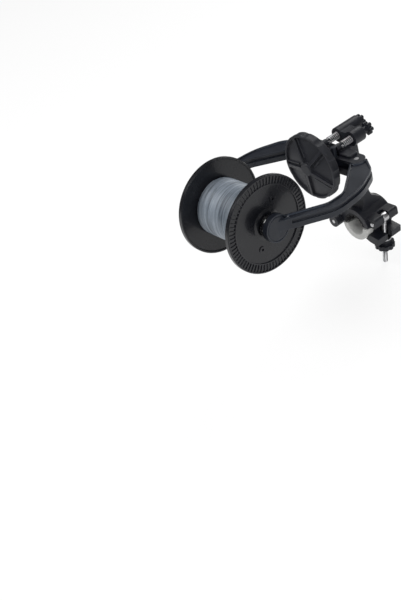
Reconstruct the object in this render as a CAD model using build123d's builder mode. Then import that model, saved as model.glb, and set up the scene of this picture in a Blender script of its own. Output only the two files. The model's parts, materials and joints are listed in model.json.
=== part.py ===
"""Clamp-on line winder: two bow arms hold a bulk line spool over a rod clamp.

Millimetres. +X runs along the spool's axis from the rear arm to the front arm, +Y along the
rod towards its tip, +Z up from the rod. The origin is on the axis of the clamp's bore, level
with the swing bolt.
"""

import os
from math import atan2, cos, hypot, pi, radians, sin, sqrt

from build123d import *

os.makedirs("parts", exist_ok=True)

# --- Clearances -----------------------------------------------------------------------------
coil_bend = 2.2  # radius of a coil's turned end, in wire radii
coil_lead = 2.0  # straight length of a coil's end, in wire radii
running_fit = 0.05  # radial, shaft in hole
gap = 0.3  # between faces of pieces that move past each other

# --- Rod clamp ------------------------------------------------------------------------------
rod_radius = 11.0
liner_thickness = 3.5
jaw_wall = 5.0
lower_jaw_wall = 4.0
clamp_length = 34.0
parting_z = 1.5
fork_slot = 8.0
fork_reach = 28.5
fork_top = 12.2
collar_front_y = -20.0
collar_back_y = -10.0
collar_radius = 17.5
liner_ribs = 7
liner_rib_depth = 1.4
jaw_hinge_x = -25.0
jaw_hinge_z = 1.0
jaw_ear_front_y = -27.0
jaw_knuckle_radius = 6.5
jaw_pin_radius = 2.0
jaw_knuckle_length = 20.0
lower_liner_top = -1.0

# --- Swing bolt -----------------------------------------------------------------------------
bolt_x = 24.0
bolt_pin_z = 6.5
bolt_lean = radians(9.0)
bolt_radius = 2.6
bolt_pin_radius = 2.5
bolt_eye_radius = 5.0
bolt_length = 61.0
lug_top = 16.5  # distances from the pin, along the bolt
saddle_radius = 25.5
lug_reach = 7.8
washer_radius = 7.5
washer_thickness = 1.2
nut_collar_radius = 7.0
nut_collar_end = 33.0
nut_radius = 10.8
nut_end = 38.15
nut_scallops = 10

# --- Post and clevis ------------------------------------------------------------------------
post_width = 18.0
post_front_y = -10.0
post_back_y = -2.0
post_foot_back_y = 2.0
post_foot_z = 29.0
post_taper = 14.0
neck_drop = 12.0
clevis_floor = 8.0
clevis_gap = 7.8
clevis_z = 85.5
plate_thickness = 4.9
plate_base = 2.2
plate_bar_half = 29.5
plate_bar_width = 13.0
plate_end_radius = 9.0
pivot_x = 34.0
pivot_y = -30.0
pivot_pin_radius = 2.5
plate_screw_x = 21.0
plate_screw_y = -24.0
plate_screw_radius = 1.5
plate_screw_head = 2.7
nose_half_width = 13.0
nose_thickness = 5.0
nose_y = -52.2

# --- Arms -----------------------------------------------------------------------------------
arm_height = 11.2
arm_lower_flange = 5.4
arm_upper_flange = 1.6
arm_groove_depth = 2.0
arm_eye_radius = 8.5
tail_width = 6.0
tail_x = 10.0
tail_y = -36.6
tail_post_radius = 2.6
hub_radius = 14.2
hub_standoff = 8.8  # from the spool's flange
hub_thickness = 5.7

# --- Knob, screw and crosshead --------------------------------------------------------------
drive_z = 93.8
knob_radius = 35.5
knob_front_y = -63.3
knob_back_y = -54.8
knob_hub_y = -68.5
knob_hub_radius = 7.0
knob_rim = 3.2
knob_web = 2.8
knob_spokes = 5
knob_spoke_width = 3.2
knob_lobes = 12
knob_lobe_depth = 1.2
knob_lobe_cut = 9.0
knob_first_spoke = -26.0
knob_side_rib = 4.6
crosshead_height = 12.5
screw_radius = 4.0
screw_end_y = -66.0
journal_radius = 2.6
crosshead_depth = 5.0

# --- Twin barrels ---------------------------------------------------------------------------
barrel_x = 9.5
barrel_z = 102.2
barrel_radius = 8.0
barrel_front_y = -12.0
rear_barrel_end_y = 17.5
front_barrel_end_y = 2.5
spring_chamber_radius = 4.0
spring_chamber_depth = 10.0
plunger_radius = 1.9
plunger_collar_radius = 3.6
plunger_collar_length = 6.0
spring_radius = 3.3
spring_wire = 0.5
spring_loops = 9.75
star_radius = 7.0
star_thickness = 5.5
star_lobes = 6
star_lobe_radius = 2.1
rear_star_y = 18.3
front_star_y = 10.0
star_neck_radius = 4.0
rod_tail = 1.2

# --- Bulk spool -----------------------------------------------------------------------------
spool_y = -155.0
spool_z = 90.2
flange_radius = 49.0
spool_width = 76.0
flange_rim_depth = 5.0
flange_web = 2.4
flange_rib_ring = 40.0
flange_rib_count = 72
spool_bore = 10.0
spool_core_radius = 16.0
line_hole_radius = 1.3
line_hole_ring = 25.0
line_hole_angle = 60.0
line_core_radius = 27.0
line_radius = 1.1
line_gap = 0.55
line_loops = 21.25

# --- Spool centres --------------------------------------------------------------------------
cone_radius = 14.0
cone_depth = 12.0
cone_nose_radius = 6.5
axle_radius = 3.0
bush_wall = 1.5
clip_thickness = 1.0

# --- Values that follow ---------------------------------------------------------------------
liner_seat = rod_radius + liner_thickness
jaw_outer = liner_seat + jaw_wall
lower_jaw_outer = liner_seat + lower_jaw_wall
half_clamp = clamp_length / 2
clevis_top = clevis_z + clevis_gap
clevis_bottom = clevis_z - clevis_floor
plate_top = clevis_top + plate_thickness
nose_top = drive_z + 2 * screw_radius
spool_half = spool_width / 2
hub_inner_x = spool_half + hub_standoff
hub_outer_x = hub_inner_x + hub_thickness
cone_nose_x = spool_half - cone_depth
washer_start = saddle_radius + gap
nut_start = washer_start + washer_thickness + gap / 2
crosshead_y = tail_y - tail_width / 2 - gap - crosshead_depth
notch_half_width = tail_x + tail_post_radius + 1.2
notch_depth = 6.5
arm_bottom = clevis_z + gap
axle_depth = hub_outer_x - hub_inner_x - 1.5
tail_lean = atan2(pivot_y - tail_y, pivot_x - tail_x)
tail_outline = [
    (x - side * tail_width / 2 * sin(tail_lean), y + side * tail_width / 2 * cos(tail_lean))
    for x, y, side in (
        (tail_x, tail_y, 1),
        (tail_x, tail_y, -1),
        (pivot_x, pivot_y, -1),
        (pivot_x, pivot_y, 1),
    )
]
arm_outer_corners = [(38.0, -21.8), (65.5, -40.0), (79.5, -68.0), (83.0, -105.0), (hub_outer_x, -154.0)]
arm_outer_radii = [25.0, 60.0, 38.0]
arm_inner_corners = [(34.0, -38.2), (70.5, -85.0), (70.5, -105.0), (hub_inner_x, -144.0)]
arm_inner_radii = [18.0, 18.0]
spool_axis = Axis((0, spool_y, spool_z), (1, 0, 0))
spool_plane = Plane(origin=(0, spool_y, spool_z), x_dir=(1, 0, 0), z_dir=(0, -1, 0))
drive_axis = Axis((0, 0, drive_z), (0, 1, 0))


def side_plane(y):
    """A plane square to the rod at height y along it: local x is X, local y is Z."""
    return Plane(origin=(0, y, 0), x_dir=(1, 0, 0), z_dir=(0, -1, 0))


def spool_face(x):
    """A plane square to the spool's axis, centred on it: local x is Y, local y is Z."""
    return Plane(origin=(x, spool_y, spool_z), x_dir=(0, 1, 0), z_dir=(1, 0, 0))


def drive_face(y, z=drive_z, x=0.0):
    """A plane square to Y whose normal points to -Y: local x is X, local y is Z."""
    return Plane(origin=(x, y, z), x_dir=(1, 0, 0), z_dir=(0, -1, 0))


def bolt_side(y):
    """A plane through the swing bolt's pin, square to Y: local y points back along the bolt."""
    return Plane(origin=(bolt_x, y, bolt_pin_z), x_dir=(cos(bolt_lean), 0, -sin(bolt_lean)), z_dir=(0, -1, 0))


def bolt_face(distance):
    """A plane square to the swing bolt, at a distance from its pin, facing its free end."""
    foot = (bolt_x - distance * sin(bolt_lean), 0, bolt_pin_z - distance * cos(bolt_lean))
    return Plane(origin=foot, x_dir=(0, 1, 0), z_dir=(-sin(bolt_lean), 0, -cos(bolt_lean)))


def save(part, name):
    """Label a finished piece and write it to its own file."""
    part.label = name
    export_step(part, f"parts/{name}.step")


def coil_end(wire):
    """How far a coil's turned end reaches along its axis, past the last full turn."""
    return (coil_bend + coil_lead) * wire


def coil_edges(centre, along, across, radius, pitch, loops):
    """The points and tangents, by quarter turns, of a helix round `along` from `centre`."""
    third = along.cross(across)
    quarters = round(loops * 4)
    slope = hypot(2 * pi * radius, pitch)
    rise = pitch / 4

    def place(i):
        angle = i * pi / 2
        return centre + along * (i * rise) + across * (radius * cos(angle)) + third * (radius * sin(angle))

    def heading(i):
        angle = i * pi / 2
        turn = third * cos(angle) - across * sin(angle)
        return (turn * (2 * pi * radius) + along * pitch) * (1 / slope)

    return [(place(i), heading(i)) for i in range(quarters + 1)]


def biarc(start, start_heading, end, end_heading):
    """Two tangent arcs from one point and heading to another, as one joint point."""
    chord = end - start
    both = start_heading + end_heading
    spread = 2 * (1 - start_heading.dot(end_heading))
    push = chord.dot(both)
    reach = (sqrt(push * push + spread * chord.dot(chord)) - push) / spread
    return (start + end + (start_heading - end_heading) * reach) * 0.5, reach


def coil_solid(centre, along, across, radius, pitch, loops, wire):
    """One unbroken round wire wound as a helix on biarcs, its ends turned along the axis."""
    knots = coil_edges(centre, along, across, radius, pitch, loops)
    bend = coil_bend * wire
    lead = coil_lead * wire
    first, first_heading = knots[0]
    last, last_heading = knots[-1]
    entry = first - first_heading * bend - along * bend
    leave = last + last_heading * bend + along * bend
    with BuildPart() as coil:
        with BuildLine() as path:
            Line(entry - along * lead, entry)
            TangentArc(entry, first, tangent=along)
            for (a, a_heading), (b, b_heading) in zip(knots, knots[1:]):
                middle, reach = biarc(a, a_heading, b, b_heading)
                TangentArc(a, middle, tangent=a_heading)
                TangentArc(middle, b, tangent=(b - b_heading * reach) - (a + a_heading * reach))
            TangentArc(last, leave, tangent=last_heading)
            Line(leave, leave + along * lead)
        with BuildSketch(Plane(origin=entry - along * lead, z_dir=along)):
            Circle(wire)
        sweep(path=path.wire())
    return coil


def coil_clearance(centre, along, across, radius, pitch, loops, wire):
    """The least gap between one turn and the next, measured on points along the helix."""
    knots = coil_edges(centre, along, across, radius, pitch, loops)
    points = [place for place, _ in knots]
    nearest = min(
        (a - b).length for i, a in enumerate(points) for b in points[i + 3 : i + 6]
    )
    return nearest - 2 * wire


# === Bracket: clamp jaw, post, clevis floor and twin barrels in one moulding ===================
with BuildPart() as bracket:
    # Upper jaw: an arch over the rod with a fork on one side and hinge ears on the other.
    with BuildSketch(side_plane(half_clamp)):
        Circle(jaw_outer)
        with Locations((jaw_hinge_x / 2, (jaw_hinge_z + jaw_knuckle_radius + parting_z) / 2)):
            Rectangle(-jaw_hinge_x, jaw_hinge_z + jaw_knuckle_radius - parting_z)
        with Locations((0, -jaw_outer)):
            Rectangle(4 * jaw_outer, 2 * (jaw_outer + parting_z), mode=Mode.SUBTRACT)
        Circle(liner_seat, mode=Mode.SUBTRACT)
    extrude(amount=half_clamp - collar_front_y)
    with BuildSketch(side_plane(half_clamp)):
        with Locations((fork_reach / 2, (parting_z + fork_top) / 2)):
            RectangleRounded(fork_reach, fork_top - parting_z, 2.5)
        Circle(liner_seat, mode=Mode.SUBTRACT)
    extrude(amount=clamp_length)
    with BuildSketch(side_plane(half_clamp)):
        with Locations((jaw_hinge_x, jaw_hinge_z)):
            Circle(jaw_knuckle_radius)
    extrude(amount=half_clamp - jaw_ear_front_y)
    # The middle of the hinge is open for the lower jaw's knuckle.
    with BuildSketch(side_plane(jaw_knuckle_length / 2 + gap)):
        with Locations((jaw_hinge_x, jaw_hinge_z)):
            Circle(jaw_knuckle_radius + gap)
        with Locations((jaw_hinge_x - jaw_knuckle_radius, jaw_hinge_z - jaw_knuckle_radius)):
            Rectangle(2 * jaw_knuckle_radius, 2 * jaw_knuckle_radius)
    extrude(amount=jaw_knuckle_length + 2 * gap, mode=Mode.SUBTRACT)
    # The fork's slot lets the swing bolt out sideways and down.
    slot_inner = bolt_x - bolt_eye_radius - 1.0
    with BuildSketch(side_plane(fork_slot / 2)):
        with Locations(((slot_inner + fork_reach + 1) / 2, (parting_z + fork_top) / 2)):
            Rectangle(fork_reach + 1 - slot_inner, fork_top - parting_z + 4)
    extrude(amount=fork_slot, mode=Mode.SUBTRACT)
    # Post: a foot flared to the clamp's back, a column, and a neck out to the clevis floor.
    neck_y = pivot_y + plate_end_radius
    with BuildSketch(Plane.YZ.offset(-post_width / 2)):
        with BuildLine():
            Polyline(
                (post_front_y - 3, jaw_outer - 2.5),
                (half_clamp - 1.5, jaw_outer - 2.5),
                (half_clamp - 1.5, jaw_outer),
                (post_foot_back_y, post_foot_z),
                (post_back_y, post_foot_z + post_taper),
                (post_back_y, barrel_z - barrel_radius + 0.5),
                (front_barrel_end_y, barrel_z - barrel_radius + 0.5),
                (front_barrel_end_y, barrel_z),
                (barrel_front_y, barrel_z),
                (barrel_front_y, clevis_top),
                (neck_y, clevis_top),
                (neck_y, clevis_bottom),
                (post_front_y, clevis_bottom - neck_drop),
                (post_front_y, post_foot_z - 4),
                close=True,
            )
        make_face()
    extrude(amount=post_width)
    column_edges = bracket.edges().filter_by(Axis.Z).filter_by_position(Axis.Z, post_foot_z + post_taper, clevis_top)
    fillet(column_edges.group_by(Axis.Y)[-1], 3)
    # Clevis floor.
    with BuildSketch(Plane.XY.offset(clevis_bottom)):
        with Locations((0, pivot_y)):
            SlotCenterToCenter(2 * pivot_x, 2 * plate_end_radius)
        with Locations((0, (nose_y + pivot_y) / 2)):
            Rectangle(2 * nose_half_width, pivot_y - nose_y)
    extrude(amount=clevis_floor)
    # Nose that carries the drive screw's bush.
    with BuildSketch(drive_face(nose_y + nose_thickness, z=0)):
        with Locations((0, (clevis_z + nose_top) / 2)):
            Rectangle(2 * nose_half_width, nose_top - clevis_z)
    extrude(amount=nose_thickness)
    # Bosses under the cover plate's screws.
    with BuildSketch(Plane.XY.offset(clevis_z)):
        with Locations((-plate_screw_x, plate_screw_y), (plate_screw_x, plate_screw_y)):
            Circle(2 * plate_screw_radius)
    extrude(amount=clevis_gap)
    # Twin barrels.
    for side, end_y in ((-1, rear_barrel_end_y), (1, front_barrel_end_y)):
        with BuildSketch(drive_face(end_y, z=barrel_z, x=side * barrel_x)):
            Circle(barrel_radius)
        extrude(amount=end_y - barrel_front_y)
    with BuildSketch(drive_face(front_barrel_end_y, z=barrel_z)):
        Rectangle(2 * barrel_x, 1.4 * barrel_radius)
    extrude(amount=front_barrel_end_y - barrel_front_y)
    for side, end_y in ((-1, rear_barrel_end_y), (1, front_barrel_end_y)):
        with BuildSketch(drive_face(end_y, z=barrel_z, x=side * barrel_x)):
            Circle(plunger_radius + running_fit)
        extrude(amount=end_y - barrel_front_y, mode=Mode.SUBTRACT)
        with BuildSketch(drive_face(barrel_front_y + spring_chamber_depth, z=barrel_z, x=side * barrel_x)):
            Circle(spring_chamber_radius)
        extrude(amount=spring_chamber_depth, mode=Mode.SUBTRACT)
    # Holes: hinge pin, swing bolt pin, pivot pins, cover screws and the screw's bush.
    with BuildSketch(side_plane(half_clamp)):
        with Locations((jaw_hinge_x, jaw_hinge_z)):
            Circle(jaw_pin_radius)
        with Locations((bolt_x, bolt_pin_z)):
            Circle(bolt_pin_radius)
    extrude(amount=half_clamp - jaw_ear_front_y, mode=Mode.SUBTRACT)
    with BuildSketch(Plane.XY.offset(clevis_bottom)):
        with Locations((-pivot_x, pivot_y), (pivot_x, pivot_y)):
            Circle(pivot_pin_radius)
    extrude(amount=clevis_floor, mode=Mode.SUBTRACT)
    with BuildSketch(Plane.XY.offset(clevis_bottom)):
        with Locations((-plate_screw_x, plate_screw_y), (plate_screw_x, plate_screw_y)):
            Circle(plate_screw_radius)
    extrude(amount=clevis_floor + clevis_gap, mode=Mode.SUBTRACT)
    with BuildSketch(Plane.XY.offset(clevis_bottom)):
        with Locations((-plate_screw_x, plate_screw_y), (plate_screw_x, plate_screw_y)):
            Circle(plate_screw_head)
    extrude(amount=plate_screw_radius, mode=Mode.SUBTRACT)
    with BuildSketch(drive_face(nose_y + nose_thickness)):
        Circle(screw_radius + 2)
    extrude(amount=nose_thickness, mode=Mode.SUBTRACT)
save(bracket.part, "bracket")
print("bracket", bracket.part.is_valid, len(bracket.part.solids()), round(bracket.part.volume))

# === Cover plate, its screws and the arms' pivot pins =========================================
with BuildPart() as top_plate:
    with BuildSketch(Plane.XY.offset(clevis_top)):
        with Locations((0, pivot_y)):
            SlotCenterToCenter(2 * pivot_x, 2 * plate_end_radius)
    extrude(amount=plate_base)
    # A raised bar stiffens the plate between the pivots.
    with BuildSketch(Plane.XY.offset(clevis_top + plate_base)):
        with Locations((0, pivot_y + plate_end_radius - plate_bar_width / 2)):
            RectangleRounded(2 * plate_bar_half, plate_bar_width, 4)
    extrude(amount=plate_thickness - plate_base)
    chamfer(top_plate.faces().sort_by(Axis.Z)[-1].outer_wire().edges(), 0.8)
    with BuildSketch(Plane.XY.offset(clevis_top)):
        # The tail posts and the screw's clip stand in a notch of the front edge.
        with Locations((0, pivot_y - plate_end_radius)):
            Rectangle(2 * notch_half_width, 2 * notch_depth)
        with Locations((-pivot_x, pivot_y), (pivot_x, pivot_y)):
            Circle(pivot_pin_radius)
    extrude(amount=plate_thickness, mode=Mode.SUBTRACT)
    with BuildSketch(Plane.XY.offset(clevis_top)):
        with Locations((-plate_screw_x, plate_screw_y), (plate_screw_x, plate_screw_y)):
            Circle(plate_screw_radius)
    extrude(amount=plate_thickness / 2, mode=Mode.SUBTRACT)
save(top_plate.part, "top_plate")

with BuildPart() as plate_screws:
    with BuildSketch(Plane.XY.offset(clevis_bottom)):
        with Locations((-plate_screw_x, plate_screw_y), (plate_screw_x, plate_screw_y)):
            Circle(plate_screw_radius)
    extrude(amount=clevis_floor + clevis_gap + plate_thickness / 2)
    with BuildSketch(Plane.XY.offset(clevis_bottom)):
        with Locations((-plate_screw_x, plate_screw_y), (plate_screw_x, plate_screw_y)):
            Circle(plate_screw_head)
    extrude(amount=plate_screw_radius)
save(plate_screws.part, "plate_screws")

with BuildPart() as arm_pivot_pins:
    with BuildSketch(Plane.XY.offset(clevis_bottom)):
        with Locations((-pivot_x, pivot_y), (pivot_x, pivot_y)):
            Circle(pivot_pin_radius)
    extrude(amount=clevis_top + plate_base - clevis_bottom)
save(arm_pivot_pins.part, "arm_pivot_pins")

# === Arms ===================================================================================
with BuildPart() as front_arm:
    with BuildSketch(Plane.XY.offset(arm_bottom)) as arm_plan:
        with BuildLine():
            outer = FilletPolyline(*arm_outer_corners, radius=arm_outer_radii)
            inner = FilletPolyline(*arm_inner_corners, radius=arm_inner_radii)
            Line(outer @ 1, inner @ 1)
            Line(inner @ 0, outer @ 0)
        make_face()
    extrude(amount=arm_height)
    # The root is thinner, so that it swings between the clevis floor and the cover plate.
    with BuildSketch(Plane.XY.offset(clevis_top - gap)):
        with Locations((pivot_x, pivot_y)):
            Circle(plate_end_radius + 3)
        with Locations((pivot_x - plate_end_radius, pivot_y - 2)):
            Rectangle(2 * plate_end_radius, 2 * (plate_end_radius + 2))
    extrude(amount=arm_height, mode=Mode.SUBTRACT)
    with BuildSketch(Plane.XY.offset(clevis_z + gap)):
        with Locations((pivot_x, pivot_y)):
            Circle(arm_eye_radius)
        with BuildLine():
            Polyline(*tail_outline, close=True)
        make_face()
        with Locations((tail_x, tail_y)):
            Circle(tail_width / 2)
    extrude(amount=clevis_gap - 2 * gap)
    with BuildSketch(Plane.XY.offset(clevis_z + gap)):
        with Locations((tail_x, tail_y)):
            Circle(tail_post_radius)
    extrude(amount=barrel_z + plunger_collar_radius - clevis_z - gap)
    # A groove runs along both side walls, between a thin upper flange and a thick lower one.
    with BuildSketch(Plane.XY.offset(arm_bottom + arm_lower_flange)):
        add(offset(arm_plan.sketch_local.face(), amount=1, mode=Mode.PRIVATE))
        add(offset(arm_plan.sketch_local.face(), amount=-arm_groove_depth, mode=Mode.PRIVATE), mode=Mode.SUBTRACT)
        with Locations((pivot_x, pivot_y)):
            Circle(plate_end_radius + 8, mode=Mode.SUBTRACT)
        with Locations((hub_inner_x, spool_y)):
            Circle(hub_radius + 3, mode=Mode.SUBTRACT)
    extrude(amount=arm_height - arm_lower_flange - arm_upper_flange, mode=Mode.SUBTRACT)
    # Hub boss at the tip, with a ring groove in its cap.
    with BuildSketch(spool_face(hub_inner_x)):
        Circle(hub_radius)
    extrude(amount=hub_outer_x - hub_inner_x)
    with BuildSketch(spool_face(hub_outer_x)):
        Circle(hub_radius - 1.6)
        Circle(hub_radius - 2.6, mode=Mode.SUBTRACT)
    extrude(amount=-0.8, mode=Mode.SUBTRACT)
    with BuildSketch(spool_face(hub_inner_x)):
        Circle(axle_radius)
    extrude(amount=axle_depth, mode=Mode.SUBTRACT)
    with BuildSketch(Plane.XY.offset(clevis_z)):
        with Locations((pivot_x, pivot_y)):
            Circle(pivot_pin_radius + running_fit)
    extrude(amount=clevis_gap, mode=Mode.SUBTRACT)
save(front_arm.part, "front_arm")
with BuildPart() as rear_arm:
    mirror(front_arm.part, about=Plane.YZ)
save(rear_arm.part, "rear_arm")
print("arm", front_arm.part.is_valid, len(front_arm.part.solids()), round(front_arm.part.volume))

# === Drive: crosshead, screw, bush and knob ===================================================
with BuildPart() as crosshead:
    with BuildSketch(Plane.XY.offset(clevis_z + gap)) as crosshead_plan:
        with Locations((0, crosshead_y + crosshead_depth / 2)):
            Rectangle(2 * nose_half_width, crosshead_depth)
        fillet(crosshead_plan.vertices().group_by(Axis.Y)[-1], 1.5)
    extrude(amount=crosshead_height)
    with BuildSketch(drive_face(crosshead_y + crosshead_depth)):
        Circle(journal_radius + running_fit)
    extrude(amount=crosshead_depth, mode=Mode.SUBTRACT)
save(crosshead.part, "crosshead")

with BuildPart() as screw_bush:
    with BuildSketch(drive_face(nose_y + nose_thickness)):
        Circle(screw_radius + bush_wall + 0.5)
        Circle(screw_radius + running_fit, mode=Mode.SUBTRACT)
    extrude(amount=nose_thickness)
save(screw_bush.part, "screw_bush")

with BuildPart() as knob_screw:
    with BuildSketch(drive_face(crosshead_y - gap)):
        Circle(screw_radius)
    extrude(amount=crosshead_y - gap - screw_end_y)
    with BuildSketch(drive_face(crosshead_y + crosshead_depth + clip_thickness + 2 * gap)):
        Circle(journal_radius)
    extrude(amount=crosshead_depth + clip_thickness + 3 * gap)
save(knob_screw.part, "knob_screw")

with BuildPart() as screw_clip:
    with BuildSketch(drive_face(crosshead_y + crosshead_depth + gap + clip_thickness)):
        Circle(journal_radius + 1.8)
        Circle(journal_radius, mode=Mode.SUBTRACT)
    extrude(amount=clip_thickness)
save(screw_clip.part, "screw_clip")

with BuildPart() as knob:
    inner_rim = knob_radius - knob_rim
    web_front = knob_front_y + 2.2
    hub_back = nose_y - gap
    with BuildSketch(Plane(origin=(0, 0, drive_z), x_dir=(0, 1, 0), z_dir=(1, 0, 0))):
        with BuildLine():
            Polyline(
                (knob_hub_y, 0),
                (knob_hub_y, knob_hub_radius - 1),
                (knob_hub_y + 1, knob_hub_radius),
                (knob_hub_y + 3, knob_hub_radius),
                (web_front, inner_rim),
                (knob_front_y, inner_rim + 0.6),
                (knob_front_y, knob_radius - 0.8),
                (knob_front_y + 0.8, knob_radius),
                (knob_back_y - 0.8, knob_radius),
                (knob_back_y, knob_radius - 0.8),
                (knob_back_y, inner_rim),
                (web_front + knob_web, inner_rim),
                (knob_hub_y + 3 + knob_web, knob_hub_radius + 1),
                (hub_back, knob_hub_radius),
                (hub_back, 0),
                close=True,
            )
        make_face()
    revolve(axis=drive_axis)
    # Five spokes rise from the rim to the hub, each with a thin rib beside it.
    for spoke in range(knob_spokes):
        angle = radians(knob_first_spoke + spoke * 360 / knob_spokes)
        outward = Vector(cos(angle), 0, sin(angle))
        across = Vector(0, 1, 0).cross(outward)
        foot = Plane(origin=(0, 0, drive_z), x_dir=(0, 1, 0), z_dir=across)
        with BuildSketch(foot):
            with BuildLine():
                Polyline(
                    (knob_hub_y + 0.4, 2),
                    (knob_hub_y + 0.4, knob_hub_radius),
                    (knob_front_y, inner_rim + 1),
                    (web_front + 1, inner_rim + 1),
                    (knob_hub_y + 4, 2),
                    close=True,
                )
            make_face()
        extrude(amount=knob_spoke_width / 2, both=True)
        with BuildSketch(foot.offset(knob_side_rib)):
            with BuildLine():
                Polyline(
                    (knob_hub_y + 2.6, knob_hub_radius + 4),
                    (knob_front_y + 0.8, inner_rim),
                    (web_front + 1, inner_rim),
                    (knob_hub_y + 5, knob_hub_radius + 4),
                    close=True,
                )
            make_face()
        extrude(amount=0.6, both=True)
    with BuildSketch(drive_face(knob_back_y)):
        with PolarLocations(knob_radius + knob_lobe_cut - knob_lobe_depth, knob_lobes):
            Circle(knob_lobe_cut)
    extrude(amount=knob_back_y - knob_front_y, mode=Mode.SUBTRACT)
    with BuildSketch(drive_face(hub_back)):
        Circle(screw_radius)
    extrude(amount=hub_back - screw_end_y, mode=Mode.SUBTRACT)
save(knob.part, "knob")
print("knob", knob.part.is_valid, len(knob.part.solids()), round(knob.part.volume))

# === Spring plungers and star knobs ===========================================================
plunger_front = tail_y + tail_post_radius + gap
collar_back = plunger_front + plunger_collar_length
spring_back = barrel_front_y + spring_chamber_depth
spring_turns_length = spring_back - collar_back - 2 * coil_end(spring_wire) - gap
for name, side, star_front in (("rear", -1, rear_star_y), ("front", 1, front_star_y)):
    centre_x = side * barrel_x
    barrel_end = rear_barrel_end_y if side < 0 else front_barrel_end_y
    rod_end = star_front + star_thickness + rod_tail
    with BuildPart() as plunger:
        with BuildSketch(drive_face(collar_back, z=barrel_z, x=centre_x)):
            Circle(plunger_collar_radius)
        extrude(amount=plunger_collar_length)
        with BuildSketch(drive_face(rod_end, z=barrel_z, x=centre_x)):
            Circle(plunger_radius)
        extrude(amount=rod_end - collar_back)
    save(plunger.part, f"{name}_plunger")

    start = Vector(centre_x, collar_back + gap / 2 + coil_end(spring_wire), barrel_z)
    spring_pitch = spring_turns_length / spring_loops
    turns = (start, Vector(0, 1, 0), Vector(1, 0, 0), spring_radius, spring_pitch, spring_loops, spring_wire)
    spring = coil_solid(*turns)
    save(spring.part, f"{name}_spring")
    print(name, "spring gap to itself", round(coil_clearance(*turns), 3), spring.part.is_valid)

    with BuildPart() as star:
        with BuildSketch(drive_face(star_front + star_thickness, z=barrel_z, x=centre_x)):
            Circle(star_radius - star_lobe_radius)
            with PolarLocations(star_radius - star_lobe_radius, star_lobes):
                Circle(star_lobe_radius)
        extrude(amount=star_thickness)
        chamfer(star.faces().sort_by(Axis.Y)[-1].edges(), 0.6)
        with BuildSketch(drive_face(star_front, z=barrel_z, x=centre_x)):
            Circle(star_neck_radius)
        extrude(amount=star_front - barrel_end - gap)
        with BuildSketch(drive_face(rod_end, z=barrel_z, x=centre_x)):
            Circle(plunger_radius + running_fit)
        extrude(amount=rod_end - barrel_end, mode=Mode.SUBTRACT)
    save(star.part, f"{name}_star_knob")
    print(name, "star", star.part.is_valid, len(star.part.solids()))

# === Spool centres: axle, bush, cone and clip on each arm ======================================
axle_start = cone_nose_x - clip_thickness - 3 * gap
with BuildPart() as front_axle:
    with BuildSketch(spool_face(axle_start)):
        Circle(axle_radius)
    extrude(amount=hub_inner_x + axle_depth - axle_start)
with BuildPart() as front_axle_clip:
    with BuildSketch(spool_face(cone_nose_x - gap - clip_thickness)):
        Circle(axle_radius + 1.8)
        Circle(axle_radius, mode=Mode.SUBTRACT)
    extrude(amount=clip_thickness)
with BuildPart() as front_bush:
    with BuildSketch(spool_face(cone_nose_x)):
        Circle(axle_radius + bush_wall)
        Circle(axle_radius + running_fit, mode=Mode.SUBTRACT)
    extrude(amount=hub_inner_x - gap - cone_nose_x)
with BuildPart() as front_cone:
    with BuildSketch(spool_plane):
        with BuildLine():
            Polyline(
                (cone_nose_x, axle_radius + bush_wall),
                (cone_nose_x, cone_nose_radius),
                (spool_half - 1, spool_bore - gap),
                (spool_half + 0.6, spool_bore - gap),
                (spool_half + 0.6, spool_bore + 1.2),
                (spool_half + 1.4, spool_bore + 1.8),
                (hub_inner_x - 4, cone_radius - 1),
                (hub_inner_x - 1.5, cone_radius),
                (hub_inner_x - gap, cone_radius - 0.4),
                (hub_inner_x - gap, axle_radius + bush_wall),
                close=True,
            )
        make_face()
    revolve(axis=spool_axis)
for piece, name in (
    (front_axle, "axle"),
    (front_axle_clip, "axle_clip"),
    (front_bush, "bush"),
    (front_cone, "cone"),
):
    save(piece.part, f"front_{name}")
    with BuildPart() as mirrored:
        mirror(piece.part, about=Plane.YZ)
    save(mirrored.part, f"rear_{name}")

# === Bulk spool ===============================================================================
web_outer = spool_half - 1.4
web_inner = web_outer - flange_web
rim_inner = spool_half - flange_rim_depth
with BuildPart() as front_flange:
    with BuildSketch(spool_plane):
        with BuildLine():
            Polyline(
                (web_inner - 6, spool_bore),
                (web_outer + 1, spool_bore),
                (web_outer + 1, spool_bore + 3.2),
                (web_outer, spool_core_radius),
                (web_outer, flange_rib_ring - 1),
                (web_outer + 1.2, flange_rib_ring - 1),
                (web_outer + 1.2, flange_rib_ring),
                (web_outer, flange_rib_ring),
                (web_outer, flange_radius - 2),
                (spool_half, flange_radius - 1.6),
                (spool_half, flange_radius - 0.6),
                (spool_half - 0.6, flange_radius),
                (rim_inner + 0.6, flange_radius),
                (rim_inner, flange_radius - 0.6),
                (rim_inner, flange_radius - 1.8),
                (web_inner, flange_radius - 2.6),
                (web_inner, spool_core_radius - 2),
                (web_inner - 6, spool_core_radius - 2),
                close=True,
            )
        make_face()
    revolve(axis=spool_axis)
    # A ring of fine radial ribs under the rim, and two bossed holes for the line's ends.
    rib_length = flange_radius - 1.6 - flange_rib_ring + 0.5
    with BuildSketch(spool_face(web_outer)):
        with PolarLocations(flange_rib_ring - 0.5 + rib_length / 2, flange_rib_count):
            Rectangle(rib_length, 1.1)
    extrude(amount=0.9)
    with BuildSketch(spool_face(web_outer)):
        with PolarLocations(line_hole_ring, 2, start_angle=line_hole_angle):
            Circle(2.6 * line_hole_radius)
    extrude(amount=0.9)
    with BuildSketch(spool_face(web_inner)):
        with PolarLocations(line_hole_ring, 2, start_angle=line_hole_angle):
            Circle(line_hole_radius)
    extrude(amount=flange_web + 0.9, mode=Mode.SUBTRACT)
save(front_flange.part, "spool_front_flange")
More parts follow.
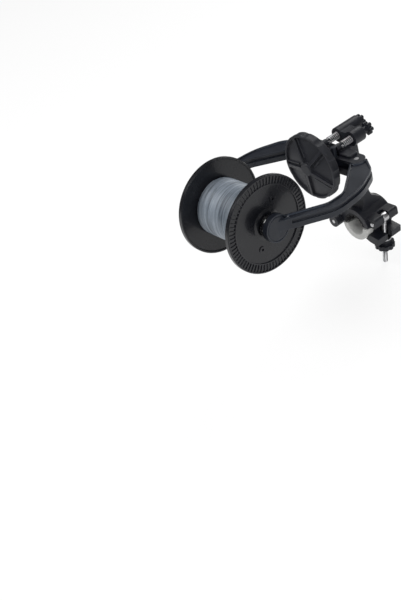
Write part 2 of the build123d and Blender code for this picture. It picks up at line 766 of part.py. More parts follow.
print("flange", front_flange.part.is_valid, len(front_flange.part.solids()))
with BuildPart() as rear_flange:
    mirror(front_flange.part, about=Plane.YZ)
save(rear_flange.part, "spool_rear_flange")

with BuildPart() as spool_core:
    with BuildSketch(spool_face(-web_inner)):
        Circle(spool_core_radius)
        Circle(spool_core_radius - 2, mode=Mode.SUBTRACT)
    extrude(amount=2 * web_inner)
save(spool_core.part, "spool_core")

with BuildPart() as line_core:
    with BuildSketch(spool_face(-web_inner)):
        Circle(line_core_radius)
        Circle(spool_core_radius, mode=Mode.SUBTRACT)
    extrude(amount=2 * web_inner)
save(line_core.part, "line_core")

winding_radius = line_core_radius + line_radius + gap / 2
line_pitch = 2 * line_radius + line_gap
winding_start = Vector(-line_loops * line_pitch / 2, spool_y, spool_z)
winding_turns = (
    winding_start,
    Vector(1, 0, 0),
    Vector(0, 0, 1),
    winding_radius,
    line_pitch,
    line_loops,
    line_radius,
)
line_winding = coil_solid(*winding_turns)
save(line_winding.part, "line_winding")
print("line winding gap to itself", round(coil_clearance(*winding_turns), 3), line_winding.part.is_valid)
print("winding reach", line_winding.part.bounding_box())

# === Rod clamp: liners, lower jaw, pins, swing bolt, washer and nut =============================
with BuildPart() as upper_liner:
    with BuildSketch(side_plane(half_clamp)):
        Circle(liner_seat)
        Circle(rod_radius, mode=Mode.SUBTRACT)
        with PolarLocations(rod_radius, liner_ribs - 1, start_angle=180 / liner_ribs, angular_range=180, endpoint=False):
            Rectangle(2 * liner_rib_depth, 2, mode=Mode.SUBTRACT)
        with Locations((0, -liner_seat)):
            Rectangle(4 * liner_seat, 2 * (liner_seat + parting_z), mode=Mode.SUBTRACT)
    extrude(amount=half_clamp - collar_front_y)
save(upper_liner.part, "upper_liner")

# The soft pad is thin inside the lower jaw and stands out in front of it as a thick collar.
with BuildPart() as lower_liner:
    with BuildSketch(side_plane(half_clamp)):
        Circle(liner_seat)
    extrude(amount=half_clamp - collar_back_y)
    with BuildSketch(side_plane(collar_back_y)):
        Circle(collar_radius)
    extrude(amount=collar_back_y - collar_front_y)
    with BuildSketch(side_plane(half_clamp)):
        Circle(rod_radius)
        with Locations((0, collar_radius)):
            Rectangle(3 * collar_radius, 2 * (collar_radius - lower_liner_top))
    extrude(amount=half_clamp - collar_front_y, mode=Mode.SUBTRACT)
save(lower_liner.part, "lower_liner")

with BuildPart() as lower_jaw:
    with BuildSketch(side_plane(half_clamp)):
        Circle(lower_jaw_outer)
        with Locations((0, lower_jaw_outer)):
            Rectangle(4 * lower_jaw_outer, 2 * (lower_jaw_outer - lower_liner_top), mode=Mode.SUBTRACT)
    extrude(amount=half_clamp - collar_back_y - gap)
    # Two prongs square to the swing bolt. Their underside is a saddle centred on its pin.
    with BuildSketch(bolt_side(half_clamp)):
        with Locations((lug_reach / 2 - 6.5, -(lug_top + saddle_radius) / 2)):
            Rectangle(lug_reach + 13, saddle_radius - lug_top)
        Circle(saddle_radius, mode=Mode.INTERSECT)
    extrude(amount=clamp_length)
    with BuildSketch(side_plane(collar_back_y + gap)):
        Circle(collar_radius + gap)
    extrude(amount=clamp_length, mode=Mode.SUBTRACT)
    # Knuckle on the hinge pin.
    with BuildSketch(side_plane(jaw_knuckle_length / 2)):
        with Locations((jaw_hinge_x, jaw_hinge_z)):
            Circle(jaw_knuckle_radius)
        with BuildLine():
            Polyline(
                (jaw_hinge_x - jaw_knuckle_radius, jaw_hinge_z),
                (jaw_hinge_x + 2, jaw_hinge_z),
                (-liner_seat - 1, lower_liner_top - 1),
                (-liner_seat - 1, lower_liner_top - 10),
                close=True,
            )
        make_face()
    extrude(amount=jaw_knuckle_length - gap)
    with BuildSketch(side_plane(half_clamp)):
        Circle(liner_seat)
        with Locations((jaw_hinge_x, jaw_hinge_z)):
            Circle(jaw_pin_radius + running_fit)
    extrude(amount=clamp_length, mode=Mode.SUBTRACT)
    # Slot between the prongs for the swing bolt.
    slot_half = bolt_radius + 0.7
    with BuildSketch(bolt_side(slot_half)):
        with Locations((lug_reach, -saddle_radius)):
            Rectangle(2 * (lug_reach + slot_half), 3 * (saddle_radius - lug_top))
    extrude(amount=2 * slot_half, mode=Mode.SUBTRACT)
save(lower_jaw.part, "lower_jaw")
print("lower jaw", lower_jaw.part.is_valid, len(lower_jaw.part.solids()), round(lower_jaw.part.volume))

with BuildPart() as jaw_hinge_pin:
    with BuildSketch(side_plane(half_clamp)):
        with Locations((jaw_hinge_x, jaw_hinge_z)):
            Circle(jaw_pin_radius)
    extrude(amount=half_clamp - jaw_ear_front_y)
save(jaw_hinge_pin.part, "jaw_hinge_pin")

with BuildPart() as swing_bolt_pin:
    with BuildSketch(side_plane(half_clamp)):
        with Locations((bolt_x, bolt_pin_z)):
            Circle(bolt_pin_radius)
    extrude(amount=clamp_length + 1.2)
    fillet(swing_bolt_pin.faces().sort_by(Axis.Y)[0].edges(), 1.1)
save(swing_bolt_pin.part, "swing_bolt_pin")

with BuildPart() as swing_bolt:
    with BuildSketch(side_plane(fork_slot / 2 - gap)):
        with Locations((bolt_x, bolt_pin_z)):
            Circle(bolt_eye_radius)
    extrude(amount=fork_slot - 2 * gap)
    with BuildSketch(bolt_face(0)):
        Circle(bolt_radius)
    extrude(amount=bolt_length)
    chamfer(swing_bolt.faces().sort_by(Axis.Z)[0].edges(), 0.5)
    with BuildSketch(side_plane(half_clamp)):
        with Locations((bolt_x, bolt_pin_z)):
            Circle(bolt_pin_radius + running_fit)
    extrude(amount=clamp_length, mode=Mode.SUBTRACT)
save(swing_bolt.part, "swing_bolt")

with BuildPart() as clamp_washer:
    with BuildSketch(bolt_face(washer_start)):
        Circle(washer_radius)
        Circle(bolt_radius + running_fit, mode=Mode.SUBTRACT)
    extrude(amount=washer_thickness)
save(clamp_washer.part, "clamp_washer")

# Hand nut: a collar under the washer and a scalloped disc.
with BuildPart() as clamp_nut:
    with BuildSketch(bolt_face(nut_start)):
        Circle(nut_collar_radius)
    extrude(amount=nut_collar_end - nut_start)
    with BuildSketch(bolt_face(nut_collar_end)):
        Circle(nut_radius)
        with PolarLocations(nut_radius + 1.6, nut_scallops):
            Circle(2.6, mode=Mode.SUBTRACT)
    extrude(amount=nut_end - nut_collar_end)
    with BuildSketch(bolt_face(nut_start)):
        Circle(bolt_radius + running_fit)
    extrude(amount=nut_end - nut_start, mode=Mode.SUBTRACT)
save(clamp_nut.part, "clamp_nut")
print("nut", clamp_nut.part.is_valid, len(clamp_nut.part.solids()))
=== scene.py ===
# %% [markdown]
# # A clamp-on line winder
# A bulk spool of line turns between two bow arms. The arms stand on a post, and the post stands
# on a hinged clamp. The solids come packed from the part's own source, so Blender's work is the
# finish: how black plastic, rubber, steel and wound line look, and the fine shapes that a solid
# leaves out.

# %% Load the frame
import json
from math import pi, radians

import bpy
from mathutils import Matrix, Vector

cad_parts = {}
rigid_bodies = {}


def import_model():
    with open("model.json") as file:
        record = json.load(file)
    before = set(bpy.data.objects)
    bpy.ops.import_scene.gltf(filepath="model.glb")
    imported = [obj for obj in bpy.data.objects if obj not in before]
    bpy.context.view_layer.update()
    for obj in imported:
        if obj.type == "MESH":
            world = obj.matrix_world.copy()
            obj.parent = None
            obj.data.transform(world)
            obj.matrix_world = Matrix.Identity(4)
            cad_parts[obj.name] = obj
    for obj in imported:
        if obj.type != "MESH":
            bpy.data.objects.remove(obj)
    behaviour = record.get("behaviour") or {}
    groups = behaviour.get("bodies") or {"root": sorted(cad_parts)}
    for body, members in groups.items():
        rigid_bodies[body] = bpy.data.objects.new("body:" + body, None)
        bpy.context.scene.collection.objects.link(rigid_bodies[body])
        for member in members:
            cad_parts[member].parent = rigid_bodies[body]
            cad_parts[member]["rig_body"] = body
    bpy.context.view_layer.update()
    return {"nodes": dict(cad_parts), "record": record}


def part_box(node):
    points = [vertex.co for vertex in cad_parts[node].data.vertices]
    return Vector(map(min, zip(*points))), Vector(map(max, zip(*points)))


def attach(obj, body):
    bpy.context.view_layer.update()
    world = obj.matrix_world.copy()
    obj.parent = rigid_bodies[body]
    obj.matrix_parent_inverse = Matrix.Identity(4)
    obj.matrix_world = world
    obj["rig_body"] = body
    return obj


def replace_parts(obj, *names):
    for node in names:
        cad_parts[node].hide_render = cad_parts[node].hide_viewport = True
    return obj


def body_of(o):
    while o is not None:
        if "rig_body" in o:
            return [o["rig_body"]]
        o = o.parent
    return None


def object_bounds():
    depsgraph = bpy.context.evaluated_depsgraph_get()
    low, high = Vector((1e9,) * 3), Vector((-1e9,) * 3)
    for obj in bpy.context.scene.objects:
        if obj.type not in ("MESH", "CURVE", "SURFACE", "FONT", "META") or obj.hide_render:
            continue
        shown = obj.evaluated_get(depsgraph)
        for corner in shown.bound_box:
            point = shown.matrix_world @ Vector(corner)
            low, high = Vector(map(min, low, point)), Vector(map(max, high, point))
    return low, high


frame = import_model()
nodes = frame["nodes"]
bpy.ops.object.select_all(action="DESELECT")

# %% [markdown]
# ## Where things are
# Everything is in metres in the part's own frame: X runs along the spool's axis, Y along the
# clamped tube, Z up. A few places are read from the nodes' boxes instead of being typed in, so
# they follow the solids.

# %% Places
MM = 0.001
flange_low, flange_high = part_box("spool_front_flange")
spool_centre = Vector((0.0, (flange_low[1] + flange_high[1]) / 2, (flange_low[2] + flange_high[2]) / 2))
print("spool centre in mm", [round(v * 1000, 2) for v in spool_centre])

# %% [markdown]
# ## Shader arithmetic
# A node tree is a formula. Written as nodes, a sum of two textures takes a dozen lines; written
# as Python it is one. This class holds one socket of a tree and turns `+ - *` into Math nodes.
# Its `node` method adds anything else.


# %% A socket that can be calculated with
class Shade:
    """One output of a material's tree, or the bare tree when there is no output yet."""

    def __init__(self, tree, output=None):
        self.tree = tree
        self.output = output

    def node(self, kind, settings=None, sockets=None, out=0):
        """Add a node: its settings first, then the values or links of its sockets."""
        made = self.tree.nodes.new(kind)
        for name, value in (settings or {}).items():
            if name == "stops":
                ramp = made.color_ramp
                while len(ramp.elements) < len(value):
                    ramp.elements.new(0.5)
                for element, (place, shade) in zip(ramp.elements, value):
                    element.position = place
                    element.color = (shade, shade, shade, 1) if isinstance(shade, float) else (*shade, 1)
            else:
                setattr(made, name, value)
        for name, value in (sockets or {}).items():
            if isinstance(value, Shade):
                self.tree.links.new(value.output, made.inputs[name])
            else:
                made.inputs[name].default_value = value
        return Shade(self.tree, made.outputs[out])

    def math(self, operation, first, second=0.0):
        return self.node("ShaderNodeMath", {"operation": operation}, {0: first, 1: second})

    def __add__(self, other):
        return self.math("ADD", self, other)

    __radd__ = __add__

    def __sub__(self, other):
        return self.math("SUBTRACT", self, other)

    def __rsub__(self, other):
        return self.math("SUBTRACT", other, self)

    def __mul__(self, other):
        return self.math("MULTIPLY", self, other)

    __rmul__ = __mul__

    def clamped(self):
        return self.node("ShaderNodeClamp", None, {"Value": self})


# %% [markdown]
# ## Starting a material
# Every finish here starts the same way: a Principled shader whose constants sit on its own
# sockets, and Object coordinates for the patterns, because they hold still in every view. Two
# helpers follow. `noise` gives the fine grain that a mould's surface leaves on plastic. `edge` finds
# edges: the Bevel node rounds the normal near an edge, and the mask rises where it differs from
# the true normal. On the blacks it paints a lighter line along the edges, a painted highlight,
# and makes the rubbed edges glossier.


# %% Material helpers
finishes = {}


def start(name, colour, roughness, metallic=0.0, coat=0.0, specular=0.5):
    """A new material; returns it with its shader's inputs and a bare Shade on its tree."""
    material = bpy.data.materials.new(name)
    material.use_nodes = True
    shader = material.node_tree.nodes["Principled BSDF"]
    shader.inputs["Base Color"].default_value = (*colour, 1)
    shader.inputs["Roughness"].default_value = roughness
    shader.inputs["Metallic"].default_value = metallic
    shader.inputs["Coat Weight"].default_value = coat
    shader.inputs["Specular IOR Level"].default_value = specular
    finishes[name] = material
    return material, shader.inputs, Shade(material.node_tree)


def feed(target, value):
    """Link a calculated value to one of the shader's sockets."""
    value.tree.links.new(value.output, target)


def place(net):
    return net.node("ShaderNodeTexCoord", out="Object")


def noise(net, scale, detail=3.0, stretch=None):
    """Noise between 0 and 1 on Object coordinates, stretched where a finish has a direction."""
    spot = place(net)
    if stretch:
        spot = net.node("ShaderNodeMapping", None, {"Vector": spot, "Scale": stretch})
    return net.node("ShaderNodeTexNoise", None, {"Vector": spot, "Scale": scale, "Detail": detail})


def rounded(net, radius):
    return net.node("ShaderNodeBevel", {"samples": 4}, {"Radius": radius})


def edge(net, radius, gain):
    """0 on a flat face, up to 1 along an edge."""
    true_normal = net.node("ShaderNodeNewGeometry", out="True Normal")
    turned = net.node(
        "ShaderNodeVectorMath",
        {"operation": "DOT_PRODUCT"},
        {0: rounded(net, radius), 1: true_normal},
        out="Value",
    )
    return ((1.0 - turned) * gain).clamped()


def blend(net, amount, dark, light):
    """A colour between two, by an amount from 0 to 1."""
    return net.node(
        "ShaderNodeMix",
        {"data_type": "RGBA"},
        {0: amount, 6: (*dark, 1), 7: (*light, 1)},
        out=2,
    )


def relief(net, height, strength, depth, soft_edge=0.0):
    """A bump from a height between 0 and 1, over edges that are softened by a radius."""
    sockets = {"Height": height, "Strength": strength, "Distance": depth}
    if soft_edge:
        sockets["Normal"] = rounded(net, soft_edge)
    return net.node("ShaderNodeBump", None, sockets)


print("helpers ready")

# %% [markdown]
# ## Black plastics
# The winder is nearly all black, and on the real one the blacks differ: the moulded bracket is
# matt with a spark-eroded grain, the bow arms are satin, the knob is drier still, and the spool
# and its centres are polished. The differences are in roughness and grain, not in colour, so each
# finish gets its own scale of noise and its own gloss. Along the edges a thin lighter line is a
# painted highlight, and there the edges are rubbed glossier.


# %% Moulded, satin and polished blacks
def black_plastic(name, colour, highlight_and_patch_colour, roughness, spread, grain_scale, grain_depth, soft_edge, coat=0.0):
    material, inputs, net = start(name, colour, roughness, coat=coat, specular=0.3)
    # painted highlight: this edge mask lightens the colour along edges, and also lowers the roughness there, where
    # rubbing makes edges glossier
    lit_and_rubbed_edges = edge(net, soft_edge * 1.6, 2.2)
    patches = noise(net, 60.0, 2.0)
    # the second colour is a painted highlight along the edges, mixed with random lighter patches of tone
    feed(inputs["Base Color"], blend(net, (lit_and_rubbed_edges * 0.55 + patches * 0.25).clamped(), colour, highlight_and_patch_colour))
    feed(inputs["Roughness"], roughness + (patches - 0.5) * spread - lit_and_rubbed_edges * 0.12)
    feed(inputs["Normal"], relief(net, noise(net, grain_scale, 2.0), 0.35, grain_depth, soft_edge))
    return material


# each black's second colour is its painted edge highlight and its patch tone
black_plastic("moulded_black", (0.0046, 0.0052, 0.0080), (0.040, 0.044, 0.058), 0.42, 0.16, 2600.0, 0.00012, 0.0006)
black_plastic("arm_black", (0.0046, 0.0058, 0.0094), (0.055, 0.064, 0.084), 0.34, 0.14, 2200.0, 0.00008, 0.0008)
black_plastic("knob_black", (0.0075, 0.0082, 0.0115), (0.045, 0.048, 0.060), 0.52, 0.14, 3000.0, 0.00012, 0.0007)
black_plastic("spool_black", (0.0034, 0.0037, 0.0052), (0.028, 0.030, 0.038), 0.26, 0.12, 900.0, 0.00004, 0.0005, coat=0.15)
black_plastic("glossy_black", (0.0025, 0.0027, 0.0038), (0.014, 0.015, 0.020), 0.12, 0.06, 700.0, 0.00002, 0.0005, coat=0.6)
print("blacks", sorted(finishes))

# %% [markdown]
# ## Rubber
# The clamp's ribbed liner is black rubber and the soft pad under the tube is light grey. Rubber
# scatters light, so it is rough, with a fine leathery grain and a slight dusting on its edges.


# %% Two rubbers
def rubber(name, colour, dusted):
    material, inputs, net = start(name, colour, 0.8, specular=0.3)
    dust = noise(net, 140.0, 4.0)
    feed(inputs["Base Color"], blend(net, (dust * 0.5 + edge(net, 0.0008, 1.5) * 0.5).clamped(), colour, dusted))
    feed(inputs["Roughness"], 0.72 + dust * 0.18)
    feed(inputs["Normal"], relief(net, noise(net, 3400.0, 3.0), 0.4, 0.0002, 0.0008))
    return material


rubber("rubber_black", (0.005, 0.005, 0.006), (0.022, 0.022, 0.024))
rubber("rubber_grey", (0.44, 0.44, 0.43), (0.60, 0.60, 0.58))
print("rubbers", len(finishes))

# %% [markdown]
# ## Metals
# Turned steel and brass show fine rings round their axis and drawn wire shows lines along it. A
# noise that is squeezed in one direction gives both. The rings change the roughness and stand a
# few hundredths of a millimetre high, so the highlight breaks up as it does on a lathe's work.


# %% Steel, spring wire and brass
def metal(name, colour, tarnish, roughness, stretch):
    material, inputs, net = start(name, colour, roughness, metallic=1.0)
    rings = noise(net, 1400.0, 2.0, stretch)
    stain = noise(net, 90.0, 3.0)
    feed(inputs["Base Color"], blend(net, (stain * 0.45).clamped(), colour, tarnish))
    feed(inputs["Roughness"], roughness + rings * 0.16 + stain * 0.06)
    feed(inputs["Normal"], relief(net, rings, 0.25, 0.00003, 0.0003))
    return material


metal("steel", (0.52, 0.52, 0.53), (0.34, 0.34, 0.35), 0.2, (0.12, 1.0, 1.0))
metal("spring_steel", (0.66, 0.66, 0.68), (0.44, 0.44, 0.46), 0.2, (1.0, 0.2, 1.0))
metal("brass", (0.71, 0.55, 0.26), (0.48, 0.36, 0.17), 0.24, (0.15, 1.0, 1.0))
print("metals", len(finishes))

# %% [markdown]
# ## Wound line
# Bulk line is braid: tiny plaits with a dull sheen, grey with a hint of blue. The turns
# themselves are modelled further down; the material adds the plait, a slow change of tone from
# turn to turn, and the brighter threads where the line lies flat.


# %% Line
def line_finish(name, colour, light):
    material, inputs, net = start(name, colour, 0.4, specular=0.6)
    plait = noise(net, 1900.0, 2.0, (1.0, 0.35, 0.35))
    turns = noise(net, 500.0, 2.0, (1.0, 0.05, 0.05))
    drift = noise(net, 45.0, 2.0)
    feed(inputs["Base Color"], blend(net, (turns * 1.7 + plait * 0.3 + drift * 0.3 - 0.8).clamped(), colour, light))
    feed(inputs["Roughness"], 0.26 + plait * 0.2)
    feed(inputs["Normal"], relief(net, plait, 0.5, 0.0001))
    return material


line_finish("line_grey", (0.065, 0.082, 0.105), (0.36, 0.41, 0.47))
# line_core_grey is a darker copy of the line's finish: painted shade for the layer seen in the grooves between the
# turns
line_finish("line_core_grey", (0.05, 0.065, 0.085), (0.18, 0.21, 0.25))
print("line finishes", len(finishes))

# %% [markdown]
# ## Dressing the solids
# Each node of the frame already has one material slot. The record says which finish belongs in
# it, so the solids are dressed by reading that list.

# %% Give every node its finish
slot_of = {part["node"]: part["material_slot"] for part in frame["record"]["subparts"]}
for name, solid in nodes.items():
    solid.data.materials.clear()
    solid.data.materials.append(finishes[slot_of[name]])
print("dressed", len(slot_of), "nodes")

# %% [markdown]
# ## Modelling helpers
# Pieces are modelled as by hand: add a primitive, go into edit mode, choose faces or edges by
# their place, and push them. `dress` ends each piece the same way: it fixes its place in the mesh,
# names its finish, and lets it ride on the body that carries it.


# %% Helpers for new pieces
def only(thing):
    bpy.ops.object.select_all(action="DESELECT")
    thing.select_set(True)
    bpy.context.view_layer.objects.active = thing


def apply_modifiers(thing):
    only(thing)
    for modifier in list(thing.modifiers):
        bpy.ops.object.modifier_apply(modifier=modifier.name)


def dress(thing, name, finish, body, smooth=40.0):
    apply_modifiers(thing)
    bpy.ops.object.transform_apply(location=True, rotation=True, scale=True)
    bpy.ops.object.mode_set(mode="EDIT")
    bpy.ops.mesh.select_all(action="SELECT")
    bpy.ops.mesh.normals_make_consistent(inside=False)
    bpy.ops.object.mode_set(mode="OBJECT")
    bpy.ops.object.shade_smooth_by_angle(angle=radians(smooth))
    thing.name = name
    thing.data.name = name
    thing.data.materials.clear()
    thing.data.materials.append(finishes[finish])
    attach(thing, body)
    bpy.ops.object.select_all(action="DESELECT")
    print(name, len(thing.data.polygons), "faces")
    return thing


def choose(thing, test, kind="VERT"):
    """In edit mode afterwards, with the vertices or faces chosen whose centre passes the test."""
    only(thing)
    bpy.ops.object.mode_set(mode="EDIT")
    bpy.ops.mesh.select_mode(type=kind)
    bpy.ops.mesh.select_all(action="DESELECT")
    bpy.ops.object.mode_set(mode="OBJECT")
    group = thing.data.vertices if kind == "VERT" else thing.data.polygons
    for item in group:
        item.select = test(item.co if kind == "VERT" else item.center)
    bpy.ops.object.mode_set(mode="EDIT")


# %% [markdown]
# ## The line on the spool
# The solids stand in for the line with a few thick turns. The real package is hundreds of turns
# of line under a millimetre thick. A circle, screwed round the spool's axis with one pitch per
# turn, gives them all with one modifier. An inner layer fills the grooves between the turns, in a
# darker copy of the line's finish that paints shade into the grooves.


# %% Wind the line
def wind(name, finish, wire, radius, half_width, steps, sides, *replaced):
    turns = int(2 * (half_width - wire) / (2 * wire))
    first = -turns * wire
    bpy.ops.mesh.primitive_circle_add(vertices=sides, radius=wire, location=spool_centre)
    strand = bpy.context.object
    bpy.ops.object.mode_set(mode="EDIT")
    bpy.ops.transform.rotate(value=pi / 2, orient_axis="X", center_override=spool_centre)
    bpy.ops.transform.translate(value=(first, 0, radius))
    bpy.ops.object.mode_set(mode="OBJECT")
    screw = strand.modifiers.new("Turns", "SCREW")
    screw.axis = "X"
    screw.angle = 2 * pi
    screw.screw_offset = 2 * wire
    screw.iterations = turns
    screw.steps = screw.render_steps = steps
    apply_modifiers(strand)
    bpy.ops.object.mode_set(mode="EDIT")
    bpy.ops.mesh.select_all(action="SELECT")
    bpy.ops.mesh.fill_holes(sides=sides)
    bpy.ops.object.mode_set(mode="OBJECT")
    dress(strand, name, finish, "spool", smooth=70.0)
    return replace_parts(strand, *replaced)


wind("line_turns", "line_grey", 0.45 * MM, 28.9 * MM, 34.15 * MM, 56, 6, "line_winding")
# the under layer's darker finish is painted shade between the turns
wind("line_under_turns", "line_core_grey", 0.7 * MM, 28.1 * MM, 34.15 * MM, 40, 5, "line_core")

# %% [markdown]
# ## The soft pad
# The pad under the tube is moulded rubber with round edges, which a solid's sharp corners don't
# show. A copy of the solid is merged, its flat faces are joined into whole ones, and a Bevel
# modifier rounds what is left.


# %% Copy a solid and round it
def merged_copy(node):
    """A free copy of a solid, its triangles joined into whole flat faces."""
    only(nodes[node])
    bpy.ops.object.duplicate()
    piece = bpy.context.object
    for key in list(piece.keys()):
        if key.startswith("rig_"):
            del piece[key]
    piece.parent = None
    bpy.ops.object.mode_set(mode="EDIT")
    bpy.ops.mesh.select_all(action="SELECT")
    bpy.ops.mesh.remove_doubles(threshold=0.00001)
    bpy.ops.mesh.dissolve_limited(angle_limit=radians(1.0))
    bpy.ops.object.mode_set(mode="OBJECT")
    return piece


def softened(node, name, radius, segments, angle=35.0):
    piece = merged_copy(node)
    bevel = piece.modifiers.new("Round edges", "BEVEL")
    bevel.width = radius
    bevel.segments = segments
    bevel.limit_method = "ANGLE"
    bevel.angle_limit = radians(angle)
    bevel.use_clamp_overlap = True
    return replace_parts(dress(piece, name, slot_of[node], body_of(nodes[node])[0]), node)


softened("lower_liner", "soft_pad", 1.1 * MM, 4)

# %% [markdown]
# ## The arms' channelled tops
# A bow arm is moulded as a channel: two thin walls with a sunk floor between them, which saves
# plastic and keeps the arm stiff. Inset the flat top as one region for the walls' width, then
# inset it a hair more while it goes down, so the inner sides of the walls are almost upright.
# The walls catch the light as two thin lines along the arm. The arm's rounded edges would drag the
# shading across its big flat faces, so a Weighted Normal modifier lets the large faces decide.


# %% Sink the top of each arm
def sunk_top(node, name, wall, depth):
    piece = merged_copy(node)
    top = max((f for f in piece.data.polygons if f.normal.z > 0.99), key=lambda f: f.area)
    level = top.center.z
    choose(piece, lambda centre: abs(centre.z - level) < 0.00005, "FACE")
    bpy.ops.mesh.inset(thickness=wall, depth=0.0, use_even_offset=True, use_boundary=True)
    bpy.ops.mesh.inset(thickness=depth * 0.12, depth=-depth, use_even_offset=True, use_boundary=True)
    bpy.ops.object.mode_set(mode="OBJECT")
    print(node, "top at", round(level * 1000, 2), "mm")
    dress(piece, name, slot_of[node], body_of(nodes[node])[0])
    flat = piece.modifiers.new("Flat faces stay flat", "WEIGHTED_NORMAL")
    flat.keep_sharp = True
    flat.weight = 100
    apply_modifiers(piece)
    bpy.ops.object.select_all(action="DESELECT")
    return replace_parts(piece, node)


sunk_top("front_arm", "front_bow_arm", 1.7 * MM, 1.6 * MM)
sunk_top("rear_arm", "rear_bow_arm", 1.7 * MM, 1.6 * MM)

# %% [markdown]
# ## The threaded swing bolt
# The bolt that swings out of the jaw has a rolled thread. One tooth's outline, screwed round the
# bolt's axis with the thread's pitch, makes it. The eye is a short drum on the pin.

# %% Thread and eye
lean = radians(9.0)
pin_centre = Vector((24.0, 0.0, 6.5)) * MM
pitch = 0.8 * MM
thread_turns = 66
thread_start = -6.0 * MM
crest = 2.6 * MM
root = 2.18 * MM
bpy.ops.mesh.primitive_circle_add(vertices=3, radius=pitch, location=pin_centre)
bolt = bpy.context.object
bpy.ops.object.mode_set(mode="EDIT")
bpy.ops.mesh.delete(type="VERT")
bpy.ops.object.mode_set(mode="OBJECT")
bolt.data.from_pydata(
    [
        (crest, 0, thread_start),
        (root, 0, thread_start - pitch * 0.5),
        (crest, 0, thread_start - pitch),
    ],
    [(0, 1), (1, 2)],
    [],
)
screw = bolt.modifiers.new("Thread", "SCREW")
screw.axis = "Z"
screw.angle = 2 * pi
screw.screw_offset = -pitch
screw.iterations = thread_turns
screw.steps = screw.render_steps = 20
screw.use_merge_vertices = True
screw.merge_threshold = 0.00002
apply_modifiers(bolt)
thread_end = thread_start - pitch * (thread_turns + 1)
print("thread ends at", round(thread_end * 1000, 2), "mm from the pin")

# %% Core, eye and tip of the bolt
bpy.ops.mesh.primitive_cylinder_add(vertices=32, radius=2.2 * MM, depth=56.0 * MM, location=pin_centre + Vector((0, 0, -31.5 * MM)))
core = bpy.context.object
choose(core, lambda co: co.z < -0.027, "VERT")
bpy.ops.transform.resize(value=(0.8, 0.8, 1), center_override=pin_centre + Vector((0, 0, -59.0 * MM)))
bpy.ops.object.mode_set(mode="OBJECT")
bpy.ops.mesh.primitive_cylinder_add(vertices=48, radius=5.0 * MM, depth=7.4 * MM, location=pin_centre, rotation=(pi / 2, 0, 0))
eye = bpy.context.object
bevel = eye.modifiers.new("Rim", "BEVEL")
bevel.width = 0.6 * MM
bevel.segments = 3
bevel.limit_method = "ANGLE"
apply_modifiers(eye)
bpy.ops.mesh.primitive_cylinder_add(vertices=32, radius=2.6 * MM, depth=6.0 * MM, location=pin_centre + Vector((0, 0, -4.5 * MM)))
neck = bpy.context.object
bevel = neck.modifiers.new("Rim", "BEVEL")
bevel.width = 0.3 * MM
bevel.segments = 2
bevel.limit_method = "ANGLE"
apply_modifiers(neck)
only(bolt)
for other in (core, eye, neck):
    other.select_set(True)
bpy.ops.object.join()
bolt = bpy.context.object
bpy.ops.object.transform_apply(location=True, rotation=True, scale=True)
bpy.ops.object.mode_set(mode="EDIT")
bpy.ops.mesh.select_all(action="SELECT")
bpy.ops.transform.rotate(value=-lean, orient_axis="Y", center_override=pin_centre)
bpy.ops.object.mode_set(mode="OBJECT")
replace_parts(dress(bolt, "threaded_swing_bolt", "steel", "swing_bolt"), "swing_bolt")

# %% [markdown]
# ## Floor, light and camera
# The object hangs in the clamp's grip as it does on a tube, and the floor lies just under its
# lowest point. The floor and the world look white to the camera through Light Path, and send
# only plain light to the object, so the blacks keep their tone. The camera stands where the
# photograph was taken from.


# %% White floor and world
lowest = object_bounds()[0][2]
floor_gap = 2.0 * MM
bpy.ops.mesh.primitive_plane_add(size=6.0, location=(0, 0, lowest - floor_gap))
floor = bpy.context.object
floor.name = "floor"
material = bpy.data.materials.new("pale_floor")
material.use_nodes = True
tree = material.node_tree
shader = tree.nodes["Principled BSDF"]
shader.inputs["Base Color"].default_value = (0.86, 0.86, 0.86, 1)
shader.inputs["Roughness"].default_value = 0.7
net = Shade(tree)
path = net.node("ShaderNodeLightPath")
seen = Shade(tree, path.output.node.outputs["Is Camera Ray"])
mirrored = Shade(tree, path.output.node.outputs["Is Glossy Ray"])
glow = net.node("ShaderNodeEmission", None, {"Color": (1, 1, 1, 1), "Strength": 1.0})
surface = net.node(
    "ShaderNodeMixShader",
    None,
    {0: (seen * 0.8 + mirrored * 0.1).clamped(), 1: Shade(tree, shader.outputs[0]), 2: glow},
)
tree.links.new(surface.output, tree.nodes["Material Output"].inputs["Surface"])
floor.data.materials.append(material)

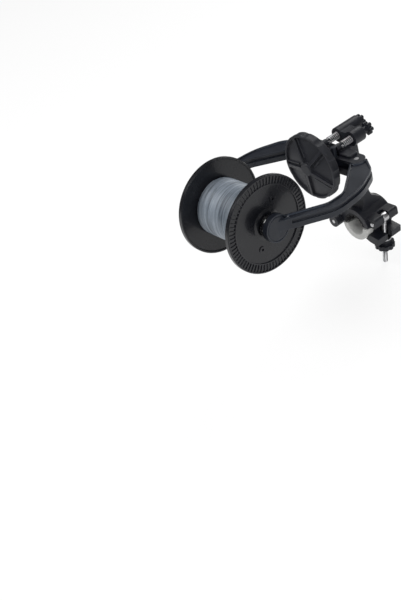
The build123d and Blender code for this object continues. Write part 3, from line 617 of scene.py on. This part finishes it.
world = bpy.context.scene.world or bpy.data.worlds.new("studio")
bpy.context.scene.world = world
world.use_nodes = True
tree = world.node_tree
tree.nodes.clear()
net = Shade(tree)
path = net.node("ShaderNodeLightPath")
seen = Shade(tree, path.output.node.outputs["Is Camera Ray"])
mirrored = Shade(tree, path.output.node.outputs["Is Glossy Ray"])
through = Shade(tree, path.output.node.outputs["Is Transmission Ray"])
soft = net.node("ShaderNodeBackground", None, {"Color": (1, 1, 1, 1), "Strength": 0.5})
dim = net.node("ShaderNodeBackground", None, {"Color": (1, 1, 1, 1), "Strength": 0.12})
white = net.node("ShaderNodeBackground", None, {"Color": (1, 1, 1, 1), "Strength": 1.0})
plain = net.node("ShaderNodeMixShader", None, {0: mirrored, 1: soft, 2: dim})
sky = net.node("ShaderNodeMixShader", None, {0: (seen + through).clamped(), 1: plain, 2: white})
output = tree.nodes.new("ShaderNodeOutputWorld")
tree.links.new(sky.output, output.inputs["Surface"])
print("floor at", round((lowest - floor_gap) * 1000, 1), "mm")


# %% Soft lights
def lamp(name, spot, size, watts):
    light = bpy.data.lights.new(name, "AREA")
    light.size = size
    light.energy = watts
    holder = bpy.data.objects.new(name, light)
    bpy.context.scene.collection.objects.link(holder)
    holder.location = spot
    aim = Vector((0, -0.07, 0.05)) - Vector(spot)
    holder.rotation_euler = aim.to_track_quat("-Z", "Y").to_euler()
    return holder


lamp("key_light", (-0.5, -0.9, 1.3), 0.9, 16.0)
lamp("fill_light", (1.3, -0.2, 0.8), 1.0, 9.0)
lamp("back_light", (-0.4, 1.0, 0.9), 0.8, 9.0)
print("lamps", len(bpy.data.lights))

# %% Camera
right = Vector((0.61552, 0.75168, -0.23689))
down = Vector((0.31061, -0.50761, -0.80365))
ahead = Vector((-0.72433, 0.42109, -0.54592))
eye_point = Vector((0.8297, -0.7096, 0.6574))
lens = bpy.data.cameras.new("viewpoint")
lens.sensor_fit = "VERTICAL"
lens.sensor_height = 36.0
lens.lens = 1182.04 * 36.0 / 601
lens.clip_start = 0.01
camera = bpy.data.objects.new("viewpoint", lens)
bpy.context.scene.collection.objects.link(camera)
turn = Matrix((right, -down, -ahead)).transposed()
camera.matrix_world = Matrix.Translation(eye_point) @ turn.to_4x4()
bpy.context.scene.camera = camera
bpy.context.scene.view_settings.view_transform = "Standard"
print("camera", [round(v, 3) for v in eye_point])
